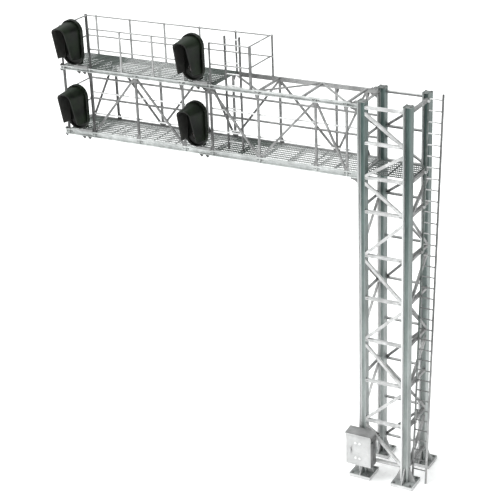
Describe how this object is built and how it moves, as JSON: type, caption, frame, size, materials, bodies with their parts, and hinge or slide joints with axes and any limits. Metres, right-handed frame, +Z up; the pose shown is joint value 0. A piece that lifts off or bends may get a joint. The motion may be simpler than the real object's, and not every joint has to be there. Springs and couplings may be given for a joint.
{
  "type": "model signal bridge",
  "caption": "Cantilever railway signal bridge for a model layout: lattice tower and ladder, truss arm with gratings and railings, turning hooded signal heads and a hinged cabinet.",
  "frame": {"origin": "centre of the square tower footprint, on the ground plane under its base plates", "axes": "+Z up, the arm reaches along -X, the signal heads face -Y"},
  "size_m": [0.1081, 0.0235, 0.12],
  "materials": {
    "column_metal": "satin",
    "base_metal": "satin",
    "lattice_metal": "satin",
    "arm_metal": "satin",
    "grating_metal": "matt",
    "rail_metal": "satin",
    "ladder_metal": "satin",
    "cabinet_paint": "satin",
    "fittings_metal": "satin",
    "head_black": "satin",
    "lens": "gloss",
    "terminal_plastic": "matt"
  },
  "bodies": {
    "mast": {"access_ladder_rails": "ladder_metal", "access_ladder_rungs": "ladder_metal", "arm_braces": "arm_metal", "arm_gussets": "arm_metal", "arm_posts": "arm_metal", "base_gussets": "base_metal", "base_plates": "base_metal", "bottom_chord_back": "arm_metal", "bottom_chord_front": "arm_metal", "cabinet_body": "cabinet_paint", "cabinet_hinge_lugs": "fittings_metal", "cabinet_hinge_pin": "fittings_metal", "cabinet_roof": "cabinet_paint", "cabinet_straps": "fittings_metal", "cabinet_terminals": "terminal_plastic", "column_back_left": "column_metal", "column_back_right": "column_metal", "column_front_left": "column_metal", "column_front_right": "column_metal", "floor_bearers": "arm_metal", "lower_grating": "grating_metal", "lower_inner_head_bracket": "fittings_metal", "lower_outer_head_bracket": "fittings_metal", "lower_rails": "rail_metal", "mast_ladder_clips": "ladder_metal", "mast_ladder_rails": "ladder_metal", "mast_ladder_rungs": "ladder_metal", "top_chord_back": "arm_metal", "top_chord_front": "arm_metal", "top_lacing": "arm_metal", "tower_bracing_back": "lattice_metal", "tower_bracing_front": "lattice_metal", "tower_bracing_left": "lattice_metal", "tower_bracing_right": "lattice_metal", "tower_grating": "grating_metal", "upper_grating": "grating_metal", "upper_inner_head_bracket": "fittings_metal", "upper_outer_head_bracket": "fittings_metal", "upper_posts": "rail_metal", "upper_rails": "rail_metal"},
    "lower_outer_head": {"lower_outer_head_housing": "head_black", "lower_outer_head_backplate": "head_black", "lower_outer_head_hood": "head_black", "lower_outer_head_lenses": "lens"},
    "upper_outer_head": {"upper_outer_head_housing": "head_black", "upper_outer_head_backplate": "head_black", "upper_outer_head_hood": "head_black", "upper_outer_head_lenses": "lens"},
    "lower_inner_head": {"lower_inner_head_housing": "head_black", "lower_inner_head_backplate": "head_black", "lower_inner_head_hood": "head_black", "lower_inner_head_lenses": "lens"},
    "upper_inner_head": {"upper_inner_head_housing": "head_black", "upper_inner_head_backplate": "head_black", "upper_inner_head_hood": "head_black", "upper_inner_head_lenses": "lens"},
    "door": {"cabinet_door": "cabinet_paint", "cabinet_handle": "fittings_metal", "cabinet_studs": "fittings_metal"}
  },
  "joints": [
    {"name": "lower_outer_head_aim", "type": "hinge", "parent": "mast", "child": "lower_outer_head", "pos_m": [-0.09085, -0.0066, 0.0894], "axis": [0, 0, 1], "range_deg": [-15, 15]},
    {"name": "upper_outer_head_aim", "type": "hinge", "parent": "mast", "child": "upper_outer_head", "pos_m": [-0.09085, -0.0066, 0.10755], "axis": [0, 0, 1], "range_deg": [-15, 15]},
    {"name": "lower_inner_head_aim", "type": "hinge", "parent": "mast", "child": "lower_inner_head", "pos_m": [-0.05335, -0.0066, 0.0894], "axis": [0, 0, 1], "range_deg": [-15, 15]},
    {"name": "upper_inner_head_aim", "type": "hinge", "parent": "mast", "child": "upper_inner_head", "pos_m": [-0.05335, -0.0066, 0.10755], "axis": [0, 0, 1], "range_deg": [-15, 15]},
    {"name": "cabinet_door_hinge", "type": "hinge", "parent": "mast", "child": "door", "pos_m": [-0.0017, -0.01052, 0.0097], "axis": [0, 0, 1], "range_deg": [0, 110]}
  ]
}
